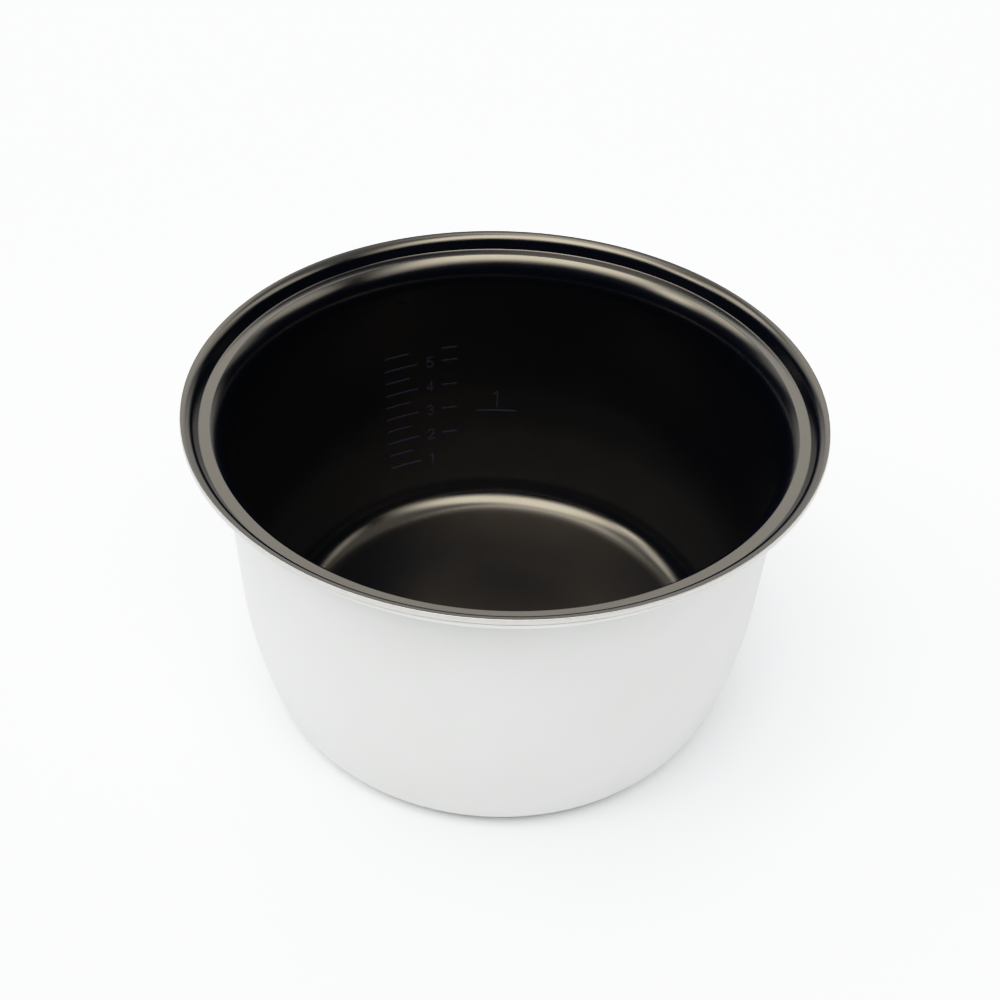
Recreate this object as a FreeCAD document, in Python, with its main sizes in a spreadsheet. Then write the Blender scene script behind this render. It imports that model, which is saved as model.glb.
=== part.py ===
"""Removable inner cooking pot of a small electric rice cooker.

The pot is one drawn aluminium sheet with a stepped rim, a non-stick coat inside, a satin coat
outside and a printed water scale. It is round about Z; z = 0 is the flat ring that it stands on.
The scale is on the +Y side, where a user who faces the pot from -Y reads it.
"""
import FreeCAD, Part
import math
import os

import Sketcher

V = FreeCAD.Vector

# Driving dimensions: millimetres and degrees.
SIZES = {
    # overall
    "rim_radius": 106.0,          # upper corner of the trimmed edge
    "pot_height": 124.0,          # standing ring to the upper corner of the edge
    "sheet_thickness": 2.0,
    "inner_coat": 0.15,
    "outer_coat": 0.15,
    # rim, from the edge inwards
    "lip_radius": 5.2,            # crown of the lip
    "lip_edge_slope": 12.0,       # slope of the lip where it is trimmed
    "step_slope": 64.0,           # slope of the step between lip and lid seat
    "seat_corner_radius": 0.8,
    "seat_depth": 5.75,           # lid seat below the edge
    "seat_inner_radius": 97.3,    # crease between seat and shoulder
    "shoulder_radius": 14.0,      # shoulder between seat and wall
    # wall and bottom, all on the inside of the sheet
    "wall_draft": 0.9,            # the wall leans out by this much
    "wall_foot_radius": 91.7,     # where the straight wall meets the belly
    "wall_foot_height": 54.0,
    "belly_radius": 190.0,
    "corner_radius": 13.0,        # bottom corner
    "ring_inner_radius": 60.0,    # inner edge of the standing ring
    "dish_height": 1.2,           # rise of the bottom's middle, to fit a crowned hot plate
    "coat_lower_edge": 1.5,       # the outer coat stops here, above the bare underside
    "cutter_margin": 1.0,         # how far the cutter of the bare underside reaches past the pot
    # printed scale
    "ink_thickness": 0.1,
    "line_width": 0.8,            # height of each printed line
    "first_line_height": 25.1,    # the one-cup line
    "half_cup_rise": 6.02,        # from each line to the next, half a cup up
    "half_line_length": 10.8,
    "whole_line_length": 14.4,
    "side_line_length": 6.4,
    "low_line_length": 16.8,
    "low_line_height": 46.5,
    "numeral_height": 4.6,
    "numeral_stroke": 0.7,
    "low_numeral_height": 8.0,
    "low_numeral_gap": 1.6,       # from the middle of the low line to the foot of its numeral
    "scale_left_angle": 32.5,     # left ends of the cup lines, from +Y towards -X
    "numeral_angle": 20.3,
    "side_line_angle": 15.1,
    "low_line_angle": 2.55,
}

# What the scale shows: cups 1 to 5 have long lines, the halves between and above have short ones.
WHOLE_CUPS = (1, 2, 3, 4, 5)
HALF_STEPS = (1, 3, 5, 7, 9)

# Centre lines of the numerals' strokes, for a numeral of height 1 that is centred on x = 0.
# A stroke is a chain of straight runs (from, to) and arcs (centre, radius, first and last angle).
# It bends somewhere, because one straight run has no plane to be widened in: so the upright of
# the 4 is a very flat arc.
NUMERALS = {
    1: [[((-0.16, 0.82), (0.04, 1.0)), ((0.04, 1.0), (0.04, 0.0))]],
    2: [[((0.0, 0.72), 0.28, -20, 170)], [((0.263, 0.624), (-0.28, 0.0)), ((-0.28, 0.0), (0.3, 0.0))]],
    3: [[((0.0, 0.76), 0.24, -90, 160)], [((0.0, 0.26), 0.26, -160, 90)]],
    4: [[((-4.86, 0.5), 5.0, -5.7, 5.7)], [((0.14, 1.0), (-0.3, 0.3)), ((-0.3, 0.3), (0.3, 0.3))]],
    5: [[((0.26, 1.0), (-0.2, 1.0)), ((-0.2, 1.0), (-0.24, 0.52))], [((0.0, 0.3), 0.3, -150, 137)]],
}

doc = FreeCAD.newDocument("rice_cooker_pot")


def make_sheet():
    """Spreadsheet with one named cell per driving dimension."""
    sheet = doc.addObject("Spreadsheet::Sheet", "Sizes")
    for row, (name, value) in enumerate(SIZES.items(), start=1):
        sheet.set("A%d" % row, name)
        sheet.set("B%d" % row, str(value))
        sheet.setAlias("B%d" % row, name)
    doc.recompute()
    return sheet


sheet = make_sheet()


def size(name):
    """Value of a cell, for first guesses and placements."""
    return float(sheet.get(name))


def bind(obj, **expressions):
    """Bind properties to expressions; a bare word that is a cell's name stands for that cell."""
    for prop, text in expressions.items():
        obj.setExpression(prop, with_cells(text))


def with_cells(text):
    """Expression in which each cell name is written as a reference to the sheet."""
    words = []
    for word in text.split():
        words.append("Sizes." + word if word in SIZES else word)
    return " ".join(words)


# ------------------------------------------------------------------ the pot's outline

def arc(centre, radius, first, last):
    circle = Part.Circle(V(centre[0], centre[1], 0), V(0, 0, 1), radius)
    return Part.ArcOfCircle(circle, math.radians(first), math.radians(last))


def line(start, end):
    return Part.LineSegment(V(start[0], start[1], 0), V(end[0], end[1], 0))


def make_outline():
    """Half section of the sheet's inside surface, from the trimmed edge to the axis.

    Sketch x is the radius and sketch y the height. The numbers here are first guesses that give
    the solver the right side of each curve; the constraints set the true sizes.
    """
    sketch = doc.addObject("Sketcher::SketchObject", "Outline")
    sketch.Placement = FreeCAD.Placement(V(0, 0, 0), FreeCAD.Rotation(V(1, 0, 0), 90))
    lip = sketch.addGeometry(arc((107, 119), 5, 102, 154), False)
    step = sketch.addGeometry(line((101, 118.5), (102.5, 121)), False)
    seat_corner = sketch.addGeometry(arc((100.5, 119), 0.8, -90, -26), False)
    seat = sketch.addGeometry(line((100.5, 118), (97.5, 118)), False)
    shoulder = sketch.addGeometry(arc((106.5, 107.5), 14, 132, 178), False)
    wall = sketch.addGeometry(line((92, 54), (92.5, 107)), False)
    belly = sketch.addGeometry(arc((-98, 57), 190, -14, -1), False)
    corner = sketch.addGeometry(arc((74, 15), 13, -90, -14), False)
    ring = sketch.addGeometry(line((74, 2), (60, 2)), False)
    dish = sketch.addGeometry(arc((0, -1500), 1503, 87.7, 90), False)

    first, last, centre = 1, 2, 3
    origin, pot_axis = -1, -2

    def tie(kind, *where):
        sketch.addConstraint(Sketcher.Constraint(kind, *where))

    def measure(kind, *where, text):
        index = sketch.addConstraint(Sketcher.Constraint(kind, *where))
        sketch.setExpression("Constraints[%d]" % index, with_cells(text))

    tie("Tangent", lip, last, step, last)
    tie("Tangent", step, first, seat_corner, last)
    tie("Tangent", seat_corner, first, seat, first)
    tie("Coincident", seat, last, shoulder, first)
    tie("Tangent", shoulder, last, wall, last)
    tie("Tangent", wall, first, belly, last)
    tie("Tangent", belly, first, corner, last)
    tie("Tangent", corner, first, ring, first)
    tie("Coincident", ring, last, dish, first)
    tie("Horizontal", seat)
    tie("Horizontal", ring)
    tie("PointOnObject", dish, centre, pot_axis)
    tie("PointOnObject", dish, last, pot_axis)

    edge_height = "pot_height - inner_coat"
    measure("Radius", lip, 5.0, text="lip_radius")
    measure("DistanceX", origin, first, lip, first, 106.0, text="rim_radius")
    measure("DistanceY", origin, first, lip, first, 124.0, text=edge_height)
    measure("DistanceX", origin, first, lip, centre, 107.0,
            text="rim_radius + lip_radius * sin( lip_edge_slope * 1deg )")
    measure("Angle", step, math.radians(64), text="step_slope * 1deg")
    measure("Radius", seat_corner, 0.8, text="seat_corner_radius")
    measure("DistanceX", origin, first, seat, last, 97.5, text="seat_inner_radius")
    measure("DistanceY", origin, first, seat, last, 118.0, text=edge_height + " - seat_depth")
    measure("Radius", shoulder, 14.0, text="shoulder_radius")
    measure("Angle", wall, math.radians(89), text="90deg - wall_draft * 1deg")
    measure("DistanceX", origin, first, wall, first, 92.0, text="wall_foot_radius")
    measure("DistanceY", origin, first, wall, first, 54.0, text="wall_foot_height")
    measure("Radius", belly, 190.0, text="belly_radius")
    measure("Radius", corner, 13.0, text="corner_radius")
    measure("DistanceY", origin, first, ring, last, 2.0, text="sheet_thickness")
    measure("DistanceX", origin, first, ring, last, 60.0, text="ring_inner_radius")
    measure("DistanceY", origin, first, dish, last, 3.0, text="sheet_thickness + dish_height")
    doc.recompute()
    return sketch


def offset(name, source, distance, fill):
    """Copy of an outline moved outwards (or inwards, if negative), or the band between the two."""
    band = doc.addObject("Part::Offset2D", name)
    band.Source = source
    band.Mode = "Skin"
    band.Fill = fill
    bind(band, Value=distance)
    return band


def turn(name, band):
    """Solid of revolution of a band about the pot's axis."""
    solid = doc.addObject("Part::Revolution", name)
    solid.Source = band
    solid.Axis = (0, 0, 1)
    solid.Base = (0, 0, 0)
    solid.Angle = 360
    solid.Solid = True
    return solid


# ------------------------------------------------------------------ shell and coats

def make_pot_shell(outline):
    band = offset("ShellBand", outline, "sheet_thickness", True)
    return turn("PotShell", band)


def make_inner_coat(outline):
    """Non-stick coat on the whole inside, over the seat and the lip, up to the bare edge."""
    band = offset("InnerCoatBand", outline, "-1 * inner_coat", True)
    return turn("InnerCoat", band)


def make_outer_coat(outline):
    """Satin coat on the outside, from the edge's lower corner to just above the standing ring."""
    outside = offset("ShellOutside", outline, "sheet_thickness", False)
    band = offset("OuterCoatBand", outside, "outer_coat", True)
    whole = turn("OuterCoatWhole", band)
    underside = doc.addObject("Part::Cylinder", "BareUnderside")
    bind(underside, Radius="rim_radius + cutter_margin", Height="coat_lower_edge + cutter_margin")
    underside.Placement.Base = V(0, 0, -size("cutter_margin"))
    coat = doc.addObject("Part::Cut", "OuterCoat")
    coat.Base = whole
    coat.Tool = underside
    return coat


# ------------------------------------------------------------------ printed scale

def make_ink_layer(outline):
    """Thin layer on the inner coat, from which each printed mark is cut."""
    inside = offset("CoatInside", outline, "-1 * inner_coat", False)
    band = offset("InkBand", inside, "-1 * ink_thickness", True)
    return turn("InkLayer", band)


def on_wall(obj, angle, height, sideways=0.0):
    """Place an object whose x points across the wall, y into the wall and z up.

    angle is measured from +Y towards -X, as a user facing the scale sees it: to the left.
    """
    turn_left = FreeCAD.Rotation(V(0, 0, 1), angle)
    base = turn_left.multVec(V(sideways, size("ring_inner_radius"), 0)) + V(0, 0, height)
    obj.Placement = FreeCAD.Placement(base, turn_left)


def block(name, length, angle, height):
    """Box through the wall, as long and as high as one printed line, centred on its angle."""
    box = doc.addObject("Part::Box", name)
    bind(box, Length=length, Width="rim_radius - ring_inner_radius", Height="line_width")
    on_wall(box, angle, height - size("line_width") / 2, -size(length) / 2)
    return box


def print_marks(name, layer, blanks):
    """The ink that is left where the blanks pass through the ink layer."""
    group = doc.addObject("Part::Compound", name + "Blanks")
    group.Links = blanks
    marks = doc.addObject("Part::Common", name)
    marks.Base = layer
    marks.Tool = group
    return marks


def steps_to(cups):
    """Half cups from the one-cup line up to a whole-cup line."""
    return 2 * (cups - 1)


def line_height(half_cups):
    """Height of the line this many half cups above the one-cup line."""
    return size("first_line_height") + half_cups * size("half_cup_rise")


def left_aligned_angle(length):
    """Angle of the middle of a cup line that starts at the scale's left edge."""
    return size("scale_left_angle") - math.degrees(size(length) / 2 / size("wall_foot_radius"))


def make_whole_cup_lines(layer):
    angle = left_aligned_angle("whole_line_length")
    blanks = [block("WholeLine%d" % cups, "whole_line_length", angle, line_height(steps_to(cups)))
              for cups in WHOLE_CUPS]
    return print_marks("WholeCupLines", layer, blanks)


def make_half_cup_lines(layer):
    angle = left_aligned_angle("half_line_length")
    blanks = [block("HalfLine%d" % steps, "half_line_length", angle, line_height(steps))
              for steps in HALF_STEPS]
    return print_marks("HalfCupLines", layer, blanks)


def make_side_lines(layer):
    """Second column of lines, right of the numerals, at the whole cups and the top line."""
    steps = [steps_to(cups) for cups in WHOLE_CUPS[1:]] + [HALF_STEPS[-1]]
    blanks = [block("SideLine%d" % step, "side_line_length", size("side_line_angle"), line_height(step))
              for step in steps]
    return print_marks("SideLines", layer, blanks)


def make_low_line(layer):
    blank = block("LowLineBlank", "low_line_length", size("low_line_angle"), size("low_line_height"))
    return print_marks("LowLine", layer, [blank])


def stroke_sketch(name, stroke, scale, angle, foot):
    """Centre line of one stroke, upright in front of its place on the wall."""
    sketch = doc.addObject("Sketcher::SketchObject", name)
    for run in stroke:
        if len(run) == 2:
            start, end = [(scale * x, scale * y) for x, y in run]
            sketch.addGeometry(line(start, end), False)
        else:
            (x, y), radius, first, last = run
            sketch.addGeometry(arc((scale * x, scale * y), scale * radius, first, last), False)
    on_wall(sketch, angle, foot)
    upright = FreeCAD.Rotation(V(1, 0, 0), 90)
    sketch.Placement.Rotation = sketch.Placement.Rotation * upright
    return sketch


def stroke_blank(name, sketch, angle):
    """One stroke's centre line, widened to a band and pushed through the wall."""
    band = doc.addObject("Part::Offset2D", name + "Band")
    band.Source = sketch
    band.Mode = "Pipe"
    band.Fill = True
    bind(band, Value="numeral_stroke / 2")
    blank = doc.addObject("Part::Extrusion", name + "Blank")
    blank.Base = band
    blank.DirMode = "Custom"
    blank.Dir = FreeCAD.Rotation(V(0, 0, 1), angle).multVec(V(0, 1, 0))
    bind(blank, LengthFwd="rim_radius - ring_inner_radius")
    blank.Solid = True
    return blank


def numeral(name, digit, height_cell, angle, foot):
    """Blank for one numeral, with its strokes joined."""
    blanks = []
    for index, stroke in enumerate(NUMERALS[digit]):
        stroke_name = "%sStroke%d" % (name, index)
        sketch = stroke_sketch(stroke_name, stroke, size(height_cell), angle, foot)
        blanks.append(stroke_blank(stroke_name, sketch, angle))
    if len(blanks) == 1:
        return blanks[0]
    whole = doc.addObject("Part::MultiFuse", name + "Whole")
    whole.Shapes = blanks
    return whole


def make_cup_numerals(layer):
    blanks = []
    for cups in WHOLE_CUPS:
        foot = line_height(steps_to(cups)) - size("numeral_height") / 2
        blanks.append(numeral("Cup%d" % cups, cups, "numeral_height", size("numeral_angle"), foot))
    return print_marks("CupNumerals", layer, blanks)


def make_low_numeral(layer):
    foot = size("low_line_height") + size("low_numeral_gap")
    blank = numeral("Low", 1, "low_numeral_height", size("low_line_angle"), foot)
    return print_marks("LowNumeral", layer, [blank])


# ------------------------------------------------------------------ build and write

def check_and_write(pieces):
    doc.recompute()
    for obj in doc.Objects:
        if "Invalid" in obj.State or "Error" in obj.State:
            raise SystemExit("%s failed: %s" % (obj.Name, obj.State))
    os.makedirs("parts", exist_ok=True)
    for label, piece in pieces.items():
        piece.Label = label
        shape = piece.Shape
        if shape.isNull() or not shape.isValid() or not shape.Solids:
            raise SystemExit("%s has no sound shape" % label)
        print("%-16s solids %d  volume %.1f mm3" % (label, len(shape.Solids), shape.Volume))
        shape.exportStep("parts/%s.step" % label)


outline = make_outline()
ink_layer = make_ink_layer(outline)
check_and_write({
    "pot_shell": make_pot_shell(outline),
    "inner_coat": make_inner_coat(outline),
    "outer_coat": make_outer_coat(outline),
    "whole_cup_lines": make_whole_cup_lines(ink_layer),
    "half_cup_lines": make_half_cup_lines(ink_layer),
    "cup_numerals": make_cup_numerals(ink_layer),
    "side_lines": make_side_lines(ink_layer),
    "low_line": make_low_line(ink_layer),
    "low_numeral": make_low_numeral(ink_layer),
})
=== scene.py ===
"""Looks of a rice cooker's inner cooking pot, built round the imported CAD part.

Everything is in metres in the part's own frame: +Z up, z = 0 under the pot, +Y towards the scale.
The CAD holds the sizes. The pieces made here are finer lathed meshes of the same outline, with
rounded edges. The printed scale stays as it is in the CAD, with a better material.
"""
import math

import bmesh
import bpy
from mathutils import Matrix, Vector


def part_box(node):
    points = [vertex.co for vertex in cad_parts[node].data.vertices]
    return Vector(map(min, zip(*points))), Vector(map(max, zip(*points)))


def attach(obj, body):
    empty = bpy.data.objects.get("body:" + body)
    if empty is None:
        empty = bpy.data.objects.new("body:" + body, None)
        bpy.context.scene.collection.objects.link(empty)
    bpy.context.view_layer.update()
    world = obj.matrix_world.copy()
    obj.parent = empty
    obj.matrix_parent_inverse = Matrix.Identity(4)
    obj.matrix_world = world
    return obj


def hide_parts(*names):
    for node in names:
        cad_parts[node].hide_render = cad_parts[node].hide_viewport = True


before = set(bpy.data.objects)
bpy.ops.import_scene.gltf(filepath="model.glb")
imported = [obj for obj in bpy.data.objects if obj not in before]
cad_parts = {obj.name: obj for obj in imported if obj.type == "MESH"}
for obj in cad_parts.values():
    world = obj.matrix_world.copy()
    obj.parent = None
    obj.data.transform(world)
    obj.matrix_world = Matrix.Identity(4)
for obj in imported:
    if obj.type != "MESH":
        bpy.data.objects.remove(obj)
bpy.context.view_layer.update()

MM = 0.001
SEGMENTS = 360          # steps round the axis in each lathed piece
ARC_STEP = 3.0          # most degrees of slope between two rings on an arc
RING_GAP = 1.5 * MM     # most length between two rings on an arc
DISH_RINGS = 8          # rings on the dish, besides the point on the axis
CORNER_STEPS = 6        # steps in a rounded corner of the trimmed edge
SAME_PLACE = 0.001 * MM     # points nearer than this are one point

# ------------------------------------------------------------------ the pot's outline
# The sheet's inside surface, as in the CAD. Slopes are in degrees, falling towards the axis.

RIM_RADIUS = 106.0 * MM
POT_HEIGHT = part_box("inner_coat")[1].z
SHEET = 2.0 * MM
COAT = 0.15 * MM
LIP_RADIUS = 5.2 * MM
LIP_EDGE_SLOPE = 12.0
STEP_SLOPE = 64.0
SEAT_CORNER_RADIUS = 0.8 * MM
SEAT_DEPTH = 5.75 * MM
SEAT_INNER_RADIUS = 97.3 * MM
SHOULDER_RADIUS = 14.0 * MM
WALL_DRAFT = 0.9
WALL_FOOT = (91.7 * MM, 54.0 * MM)      # radius and height
BELLY_RADIUS = 190.0 * MM
CORNER_RADIUS = 13.0 * MM
RING_INNER_RADIUS = 60.0 * MM
DISH_HEIGHT = 1.2 * MM
OUTER_COAT_FOOT = 1.5 * MM
INNER_CREASE = 0.35 * MM            # rounding of the crease between seat and shoulder, from above
UNDER_CREASE = 2.5 * MM             # the same on the underside, where the sheet bends round it
UPPER_EDGE_ROUNDING = 0.15 * MM     # corners of the trimmed edge
LOWER_EDGE_ROUNDING = 0.7 * MM
COAT_TAPER = 1.2 * MM               # the inner coat thins out over this width
EDGE_GAP = 0.05 * MM                # least step between the edge's rounding and the next ring


def normal(slope):
    """Unit normal (radial, up) of a surface that falls towards the axis at this slope."""
    a = math.radians(slope)
    return Vector((-math.sin(a), math.cos(a)))


def arc(centre, radius, slopes):
    """Points and normals of an arc at these slopes; radius is negative on a hollow arc."""
    return [(centre + radius * normal(s), normal(s)) for s in slopes]


def sweep(centre, radius, first, last):
    """Arc from one slope to another, in steps small enough to look smooth."""
    turn = abs(last - first)
    length = abs(radius) * math.radians(turn)
    steps = max(2, math.ceil(turn / ARC_STEP), math.ceil(length / RING_GAP))
    return arc(centre, radius, [first + (last - first) * i / steps for i in range(steps + 1)])


def outline(crease):
    """Half section of the sheet's inside surface as (point, normal) pairs, from edge to axis."""
    top = Vector((RIM_RADIUS, POT_HEIGHT - COAT * math.cos(math.radians(LIP_EDGE_SLOPE))))
    seat_height = POT_HEIGHT - COAT - SEAT_DEPTH
    lip_centre = top - LIP_RADIUS * normal(LIP_EDGE_SLOPE)
    step_top = lip_centre + LIP_RADIUS * normal(STEP_SLOPE)

    step = math.radians(STEP_SLOPE)
    step_foot_height = seat_height + SEAT_CORNER_RADIUS * (1 - math.cos(step))
    run = (step_top.y - step_foot_height) / math.tan(step)
    step_foot = Vector((step_top.x - run, step_foot_height))
    seat_corner = step_foot + SEAT_CORNER_RADIUS * normal(STEP_SLOPE)

    foot = Vector(WALL_FOOT)
    draft = math.radians(WALL_DRAFT)
    wall_slope = 90 - WALL_DRAFT
    wall_up = Vector((math.sin(draft), math.cos(draft)))
    lowest_shoulder = foot - SHOULDER_RADIUS * normal(wall_slope)
    start = lowest_shoulder - Vector((SEAT_INNER_RADIUS, seat_height))
    along = start.dot(wall_up)
    rise = -along - math.sqrt(along ** 2 - start.length_squared + SHOULDER_RADIUS ** 2)
    shoulder = lowest_shoulder + rise * wall_up

    crease_height = seat_height - crease
    reach = math.sqrt((SHOULDER_RADIUS - crease) ** 2 - (crease_height - shoulder.y) ** 2)
    crease_centre = Vector((shoulder.x - reach, crease_height))
    crease_slope = math.degrees(math.asin(reach / (SHOULDER_RADIUS - crease)))

    belly = foot + BELLY_RADIUS * normal(wall_slope)
    corner_height = SHEET + CORNER_RADIUS
    between = BELLY_RADIUS - CORNER_RADIUS
    corner_slope = math.degrees(math.acos((belly.y - corner_height) / between))
    corner = belly - between * normal(corner_slope)

    dish_radius = (RING_INNER_RADIUS ** 2 + DISH_HEIGHT ** 2) / (2 * DISH_HEIGHT)
    dish = Vector((0, SHEET + DISH_HEIGHT - dish_radius))
    dish_slope = -math.degrees(math.asin(RING_INNER_RADIUS / dish_radius))

    path = sweep(lip_centre, LIP_RADIUS, LIP_EDGE_SLOPE, STEP_SLOPE)
    path += sweep(seat_corner, -SEAT_CORNER_RADIUS, STEP_SLOPE, 0)
    path += sweep(crease_centre, crease, 0, crease_slope)
    path += sweep(shoulder, SHOULDER_RADIUS, crease_slope, wall_slope)
    path += sweep(belly, -BELLY_RADIUS, wall_slope, corner_slope)
    path += sweep(corner, -CORNER_RADIUS, corner_slope, 0)
    path += arc(dish, dish_radius, [dish_slope * i / DISH_RINGS for i in range(DISH_RINGS, -1, -1)])
    joined = path[:1]
    for point, n in path[1:]:
        if (point - joined[-1][0]).length > SAME_PLACE:
            joined.append((point, n))
    return joined


def skin(path, distance, clear=0.0):
    """The outline moved by a distance, inwards if positive, without the points nearer to the
    trimmed edge than clear."""
    edge = path[0][0]
    return [point + distance * n for point, n in path if (point - edge).length >= clear]


def edge_frame(path):
    """Edge of the outline, the surface's normal there and the edge's own outward direction."""
    edge, n = path[0]
    return edge, n, Vector((n.y, -n.x))


def round_corner(path, distance, radius, inset, first, last):
    """Quarter round near the trimmed edge, between two directions given in degrees from the
    surface's normal towards the edge's own outward direction. Its centre is on the skin at this
    distance, moved in from the edge by inset."""
    edge, n, outwards = edge_frame(path)
    centre = edge + distance * n - inset * outwards
    turns = [math.radians(first + (last - first) * i / CORNER_STEPS)
             for i in range(CORNER_STEPS + 1)]
    return [centre + radius * (n * math.cos(a) + outwards * math.sin(a)) for a in turns]


# ------------------------------------------------------------------ lathed pieces

def lathe(name, loop):
    """Closed solid from a closed half section, whose points on the axis become single vertices."""
    mesh = bmesh.new()
    rings = []
    for radius, height in loop:
        if radius < SAME_PLACE:
            rings.append([mesh.verts.new((0, 0, height))])
            continue
        rings.append([mesh.verts.new((radius * math.cos(a), radius * math.sin(a), height))
                      for a in (2 * math.pi * i / SEGMENTS for i in range(SEGMENTS))])
    for ring, following in zip(rings, rings[1:] + rings[:1]):
        if len(ring) == 1 and len(following) == 1:
            continue
        for i in range(SEGMENTS):
            j = (i + 1) % SEGMENTS
            corners = [ring[i % len(ring)], ring[j % len(ring)],
                       following[j % len(following)], following[i % len(following)]]
            mesh.faces.new(list(dict.fromkeys(corners)))
    bmesh.ops.recalc_face_normals(mesh, faces=mesh.faces)
    for face in mesh.faces:
        face.smooth = True
    data = bpy.data.meshes.new(name)
    mesh.to_mesh(data)
    mesh.free()
    piece = bpy.data.objects.new(name, data)
    bpy.context.scene.collection.objects.link(piece)
    return piece


def finish_piece(piece, node, material):
    """Give a piece its material, and let it stand for a CAD node."""
    piece.data.materials.append(material)
    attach(piece, "root")
    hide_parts(node)


# ------------------------------------------------------------------ node trees

class Nodes:
    """Short hand for adding nodes to the tree of a material or a world."""

    def __init__(self, owner):
        owner.use_nodes = True
        self.tree = owner.node_tree

    def add(self, kind, **values):
        """New node. Each value goes to the input of that name, or else to the node's setting."""
        node = self.tree.nodes.new("ShaderNode" + kind)
        for key, value in values.items():
            if key in node.inputs:
                node.inputs[key].default_value = value
            else:
                setattr(node, key, value)
        return node

    def join(self, source, target):
        self.tree.links.new(source, target)

    def place(self, space):
        """Position in the coordinates of this name."""
        return self.add("TexCoord").outputs[space]

    def noise(self, scale, detail=2.0):
        node = self.add("TexNoise", Scale=scale, Detail=detail)
        self.join(self.place("Object"), node.inputs["Vector"])
        return node.outputs["Fac"]

    def spread(self, source, low, high, out_low, out_high, shape="LINEAR"):
        """Value remapped from low..high to out_low..out_high, and held at the two ends."""
        node = self.add("MapRange", interpolation_type=shape)
        ends = {"From Min": low, "From Max": high, "To Min": out_low, "To Max": out_high}
        for name, value in ends.items():
            node.inputs[name].default_value = value
        self.join(source, node.inputs["Value"])
        return node.outputs["Result"]

    def combine(self, operation, first, second):
        """Sum or product of two values."""
        node = self.add("Math", operation=operation)
        self.join(first, node.inputs[0])
        self.join(second, node.inputs[1])
        return node.outputs["Value"]


# ------------------------------------------------------------------ materials

NOISE_RANGE = (0.3, 0.7)        # nearly all of a noise texture's values lie between these
FLECK_RANGE = (0.35, 0.75)      # the fleck shows where its noise is between these

# The non-stick coat is duller on the belly than on the pot's floor and its shoulder, and on the
# wall it is in between. These are the heights in metres between which each change happens.
CORNER_TO_BELLY = (0.008, 0.014)
BELLY_TO_WALL = (0.035, 0.060)
WALL_TO_SHOULDER = (0.100, 0.112)
BELLY_DULLNESS = 0.34           # what the belly adds to the roughness
WALL_SHARE = 0.35               # share of that on the wall

TURNING_MARKS = 400             # scale of the wave whose rings are 0.8 mm apart


class Finish(Nodes):
    """Node tree of a new material with its Principled shader."""

    def __init__(self, name):
        self.material = bpy.data.materials.new(name)
        super().__init__(self.material)
        self.shader = self.tree.nodes["Principled BSDF"]

    def set(self, name, value):
        """Give a shader's input one value all over."""
        self.shader.inputs[name].default_value = value

    def drive(self, name, source):
        """Lead a node's output into a shader's input."""
        self.join(source, self.shader.inputs[name])

    def clouds(self, scale, low, high, detail=2.0):
        """Noise that varies between low and high."""
        return self.spread(self.noise(scale, detail), *NOISE_RANGE, low, high)

    def blend(self, factor, low, high):
        """Lead a colour between two colours, by a factor, into the shader."""
        node = self.add("Mix", data_type="RGBA")
        ends = [socket for socket in node.inputs if socket.type == "RGBA"]
        for end, colour in zip(ends, (low, high)):
            end.default_value = (*colour, 1)
        self.join(factor, node.inputs["Factor"])
        self.drive("Base Color", next(s for s in node.outputs if s.type == "RGBA"))

    def bump(self, height, distance, strength):
        node = self.add("Bump", Strength=strength, Distance=distance)
        self.join(height, node.inputs["Height"])
        self.drive("Normal", node.outputs["Normal"])


def nonstick_material():
    """Near-black semi-gloss coat with a fine fleck."""
    m = Finish("nonstick_coat")
    m.set("IOR", 1.98)
    m.set("Specular Tint", (1.0, 0.885, 0.69, 1))
    fleck = m.spread(m.noise(5200, detail=1.0), *FLECK_RANGE, 0, 1)
    m.blend(fleck, (0.003, 0.005, 0.010), (0.008, 0.010, 0.016))
    position = m.add("SeparateXYZ")
    m.join(m.place("Object"), position.inputs["Vector"])
    height = position.outputs["Z"]
    duller = m.combine("MULTIPLY", m.spread(height, *CORNER_TO_BELLY, 0, BELLY_DULLNESS),
                       m.spread(height, *BELLY_TO_WALL, 1, WALL_SHARE))
    duller = m.combine("MULTIPLY", duller, m.spread(height, *WALL_TO_SHOULDER, 1, 0))
    m.drive("Roughness", m.combine("ADD", duller, m.clouds(60, 0.18, 0.21, detail=3.0)))
    m.bump(m.noise(2600), distance=0.01 * MM, strength=0.35)
    return m.material


def satin_material():
    """Satin light grey baked coat with a fine grain."""
    m = Finish("satin_coat")
    m.blend(m.clouds(22, 0, 1, detail=3.0), (0.735, 0.735, 0.705), (0.765, 0.765, 0.74))
    m.drive("Roughness", m.clouds(900, 0.42, 0.52))
    m.bump(m.noise(1800), distance=0.02 * MM, strength=0.4)
    return m.material


def aluminium_material():
    """Bare turned aluminium."""
    m = Finish("bare_aluminium")
    m.set("Metallic", 1.0)
    m.blend(m.noise(300), (0.50, 0.48, 0.45), (0.58, 0.56, 0.53))
    m.drive("Roughness", m.clouds(700, 0.28, 0.4))
    rings = m.add("TexWave", wave_type="RINGS", rings_direction="Z", Scale=TURNING_MARKS)
    m.join(m.place("Object"), rings.inputs["Vector"])
    m.bump(rings.outputs["Fac"], distance=0.02 * MM, strength=0.4)
    return m.material


def ink_material():
    """Faint bluish grey print."""
    m = Finish("scale_ink")
    m.blend(m.noise(1500), (0.035, 0.037, 0.055), (0.05, 0.053, 0.075))
    m.drive("Roughness", m.clouds(900, 0.4, 0.55))
    return m.material


def floor_material():
    """Plain pale matt floor."""
    m = Finish("pale_floor")
    m.blend(m.noise(4, detail=3.0), (0.87, 0.87, 0.875), (0.89, 0.89, 0.895))
    m.set("Roughness", 0.8)
    return m.material


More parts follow.
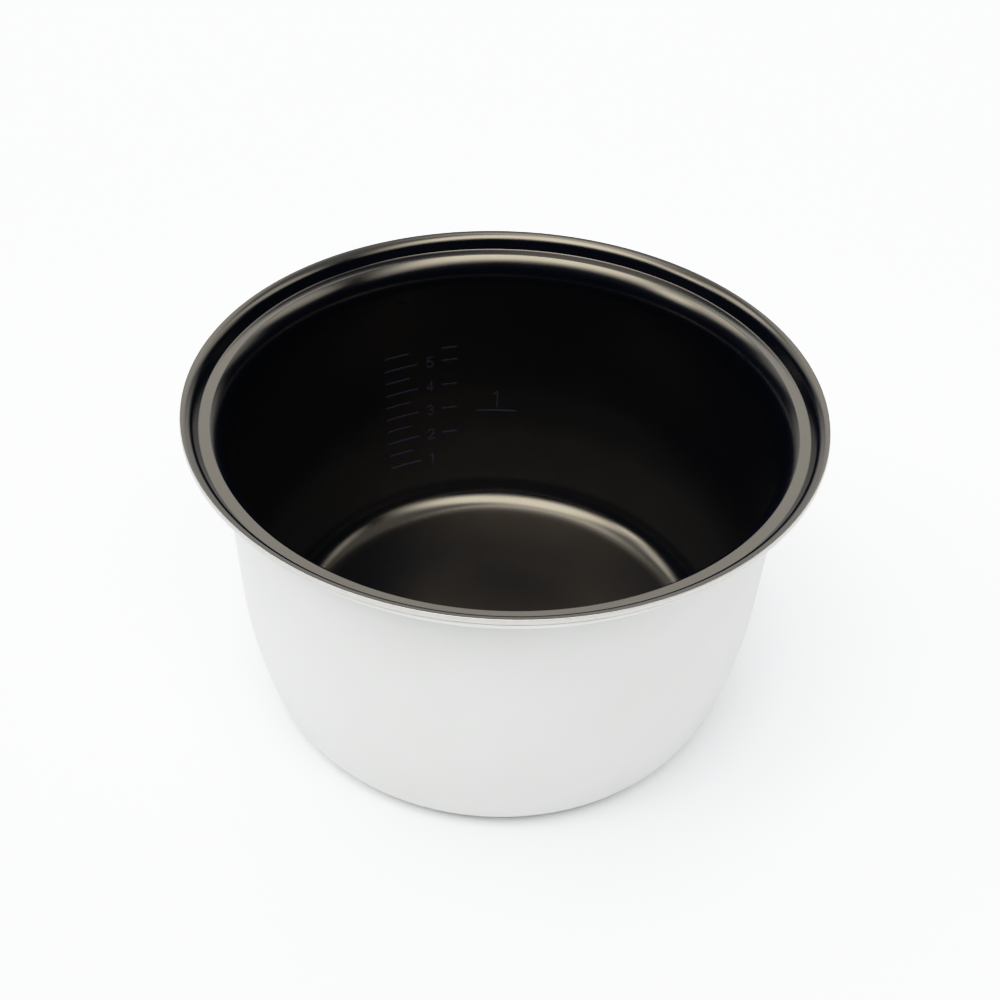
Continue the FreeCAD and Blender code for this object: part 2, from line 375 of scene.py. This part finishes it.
# ------------------------------------------------------------------ the pieces

PRINTED_NODES = ("whole_cup_lines", "half_cup_lines", "side_lines", "cup_numerals", "low_line",
                 "low_numeral")

inside = outline(INNER_CREASE)
under = outline(UNDER_CREASE)


def make_shell():
    """The sheet, with the burrs of its trimmed edge rounded off."""
    upper, lower = UPPER_EDGE_ROUNDING, LOWER_EDGE_ROUNDING
    loop = skin(inside, 0, upper + EDGE_GAP)
    loop += reversed(skin(under, -SHEET, lower + EDGE_GAP))
    loop += round_corner(under, lower - SHEET, lower, lower, 180, 90)
    loop += round_corner(inside, -upper, upper, upper, 90, 0)
    finish_piece(lathe("bare_pot_shell", loop), "pot_shell",
                 aluminium_material())


def make_inner_coat():
    """The non-stick coat, which thins to nothing beside the edge's upper corner."""
    edge, n, outwards = edge_frame(inside)
    tip = edge - UPPER_EDGE_ROUNDING * outwards
    above_tip = tip - EDGE_GAP * outwards + COAT * EDGE_GAP / COAT_TAPER * n
    loop = skin(inside, COAT, UPPER_EDGE_ROUNDING + COAT_TAPER)
    loop += reversed(skin(inside, 0, UPPER_EDGE_ROUNDING + 2 * EDGE_GAP))
    loop += [tip, above_tip]
    finish_piece(lathe("nonstick_inner_coat", loop), "inner_coat",
                 nonstick_material())


def make_outer_coat():
    """The satin coat, from beside the edge's lower corner to just above the standing ring."""
    end = LOWER_EDGE_ROUNDING + COAT
    path = under[:1] + [(p, n) for p, n in under[1:] if (p - SHEET * n).y > OUTER_COAT_FOOT]
    loop = skin(path, -SHEET, end + EDGE_GAP)
    loop += reversed(skin(path, -SHEET - COAT, end + EDGE_GAP))
    loop += round_corner(under, -SHEET, COAT, end, 180, 90)
    finish_piece(lathe("satin_outer_coat", loop), "outer_coat", satin_material())


def ink_scale():
    """Give the printed scale, which stays as it is in the CAD, its material."""
    ink = ink_material()
    for name in PRINTED_NODES:
        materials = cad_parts[name].data.materials
        materials.clear()
        materials.append(ink)


# ------------------------------------------------------------------ floor, light and camera

FLOOR_SIZE = 8

# The soft lights that the studio's dome is made of. Azimuth is from +Y towards +X and elevation
# from the floor. Each fades out from its middle to an oval edge of this half width and half
# height. All of these are in degrees, and a radiance of 1 is white.
LIGHTS = {
    #              azimuth, elevation, half width, half height, radiance
    "overhead":    (191, 65, 60, 20, 5.1),
    "ceiling":     (310, 80, 26, 20, 2.6),
    "back":        (0, 39, 70, 17, 1.95),
    "left":        (285, 42, 24, 13, 3.4),
    "window":      (255, 38, 10, 9, 3.4),
    "right":       (74, 39, 27, 11, 2.3),
    "backdrop":    (0, 13, 46, 16, 1.2),
}
LIGHT_CORE = 0.1    # share of a light's oval, by area, that has its full radiance
FACING = 0.1        # a light's opposite in the sky is cut off, by a fade of this cosine
SKY_TINT = (0.97, 0.99, 1.0, 1)
DOME_RADIANCE = 0.46
DOME_FOOT = 40      # elevation where the dome's own radiance begins, and where it is full
DOME_FULL = 56
BACKGROUND_RADIANCE = 0.95      # how bright the dome looks to the camera, past the floor's edge

# Tone curve of a camera: scene radiance and the radiance that is shown.
TONE_CURVE = ((0, 0), (0.02, 0.008), (0.06, 0.052), (0.25, 0.235), (0.6, 0.63), (0.8, 0.77),
              (1.08, 0.91), (2.0, 1.0))
ALL_CHANNELS = 3    # the curve of a curve mapping that red, green and blue share

# Camera at the photo's viewing angle. Lengths are in rim radii, and angles in degrees.
CAMERA_DISTANCE = 3.94
CAMERA_ELEVATION = 35.68
CAMERA_ROLL = 2.22
AIM_RIGHT = -0.0067     # the point aimed at, right of the axis and below the rim
AIM_BELOW_RIM = 0.4654
SENSOR_WIDTH = 36       # mm
FOCAL_LENGTH = 45.18    # mm


def make_floor():
    """Plain floor, which isn't part of the object."""
    bpy.ops.mesh.primitive_plane_add(size=FLOOR_SIZE)
    floor = bpy.context.object
    floor.name = "floor"
    floor.data.materials.append(floor_material())


def direction(azimuth, elevation):
    """Unit vector towards a place in the sky."""
    az, el = math.radians(azimuth), math.radians(elevation)
    return Vector((math.sin(az) * math.cos(el), math.cos(az) * math.cos(el), math.sin(el)))


class Sky(Nodes):
    """Node tree of the world."""

    def along(self, axis):
        """Component of the sky's direction along an axis."""
        node = self.add("VectorMath", operation="DOT_PRODUCT")
        node.inputs[1].default_value = axis
        self.join(self.place("Generated"), node.inputs[0])
        return node.outputs["Value"]

    def fade(self, source, low, high, out_low, out_high):
        """Value remapped as by spread, but easing in and out."""
        return self.spread(source, low, high, out_low, out_high, shape="SMOOTHSTEP")

    def soft_light(self, azimuth, elevation, half_width, half_height, radiance):
        """Radiance of an oval that fades out towards its edge."""
        aim = direction(azimuth, elevation)
        side = direction(azimuth + 90, 0)
        across = self.along(side / math.sin(math.radians(half_width)))
        upwards = self.along(side.cross(aim) / math.sin(math.radians(half_height)))
        oval = self.combine("ADD", self.combine("MULTIPLY", across, across),
                            self.combine("MULTIPLY", upwards, upwards))
        facing = self.fade(self.along(aim), 0, FACING, 0, 1)
        return self.combine("MULTIPLY", facing, self.fade(oval, LIGHT_CORE, 1, radiance, 0))


def make_light():
    """World whose radiance is a soft dome plus the soft lights."""
    world = bpy.data.worlds.new("studio")
    bpy.context.scene.world = world
    sky = Sky(world)
    foot, full = (math.sin(math.radians(e)) for e in (DOME_FOOT, DOME_FULL))
    total = sky.fade(sky.along(Vector((0, 0, 1))), foot, full, 0, DOME_RADIANCE)
    for light in LIGHTS.values():
        total = sky.combine("ADD", total, sky.soft_light(*light))
    seen = sky.add("Mix", B=BACKGROUND_RADIANCE)
    sky.join(sky.add("LightPath").outputs["Is Camera Ray"], seen.inputs["Factor"])
    sky.join(total, seen.inputs["A"])
    background = sky.tree.nodes["Background"]
    background.inputs["Color"].default_value = SKY_TINT
    sky.join(seen.outputs["Result"], background.inputs["Strength"])


def set_tone():
    """Show the scene through the tone curve."""
    view = bpy.context.scene.view_settings
    view.view_transform = "Standard"
    view.use_curve_mapping = True
    mapping = view.curve_mapping
    mapping.clip_max_x = TONE_CURVE[-1][0]
    points = mapping.curves[ALL_CHANNELS].points
    points[0].location = TONE_CURVE[0]
    points[1].location = TONE_CURVE[-1]
    for point in TONE_CURVE[1:-1]:
        points.new(*point)
    mapping.update()


def make_camera():
    """Camera looking down at the pot, tilted a little sideways."""
    distance = CAMERA_DISTANCE * RIM_RADIUS
    elevation = math.radians(CAMERA_ELEVATION)
    roll = math.radians(CAMERA_ROLL)
    eye = Vector((0, -distance * math.cos(elevation), POT_HEIGHT + distance * math.sin(elevation)))
    aim = Vector((AIM_RIGHT * RIM_RADIUS, 0, POT_HEIGHT - AIM_BELOW_RIM * RIM_RADIUS))
    ahead = (aim - eye).normalized()
    right = ahead.cross(Vector((0, 0, 1))).normalized()
    up = right.cross(ahead)
    right, up = (right * math.cos(roll) + up * math.sin(roll),
                 up * math.cos(roll) - right * math.sin(roll))
    data = bpy.data.cameras.new("camera")
    data.sensor_width = SENSOR_WIDTH
    data.lens = FOCAL_LENGTH
    camera = bpy.data.objects.new("camera", data)
    bpy.context.scene.collection.objects.link(camera)
    rotation = Matrix((right, up, -ahead)).transposed()
    camera.matrix_world = Matrix.Translation(eye) @ rotation.to_4x4()
    bpy.context.scene.camera = camera


make_shell()
make_inner_coat()
make_outer_coat()
ink_scale()
make_floor()
make_light()
make_camera()
set_tone()
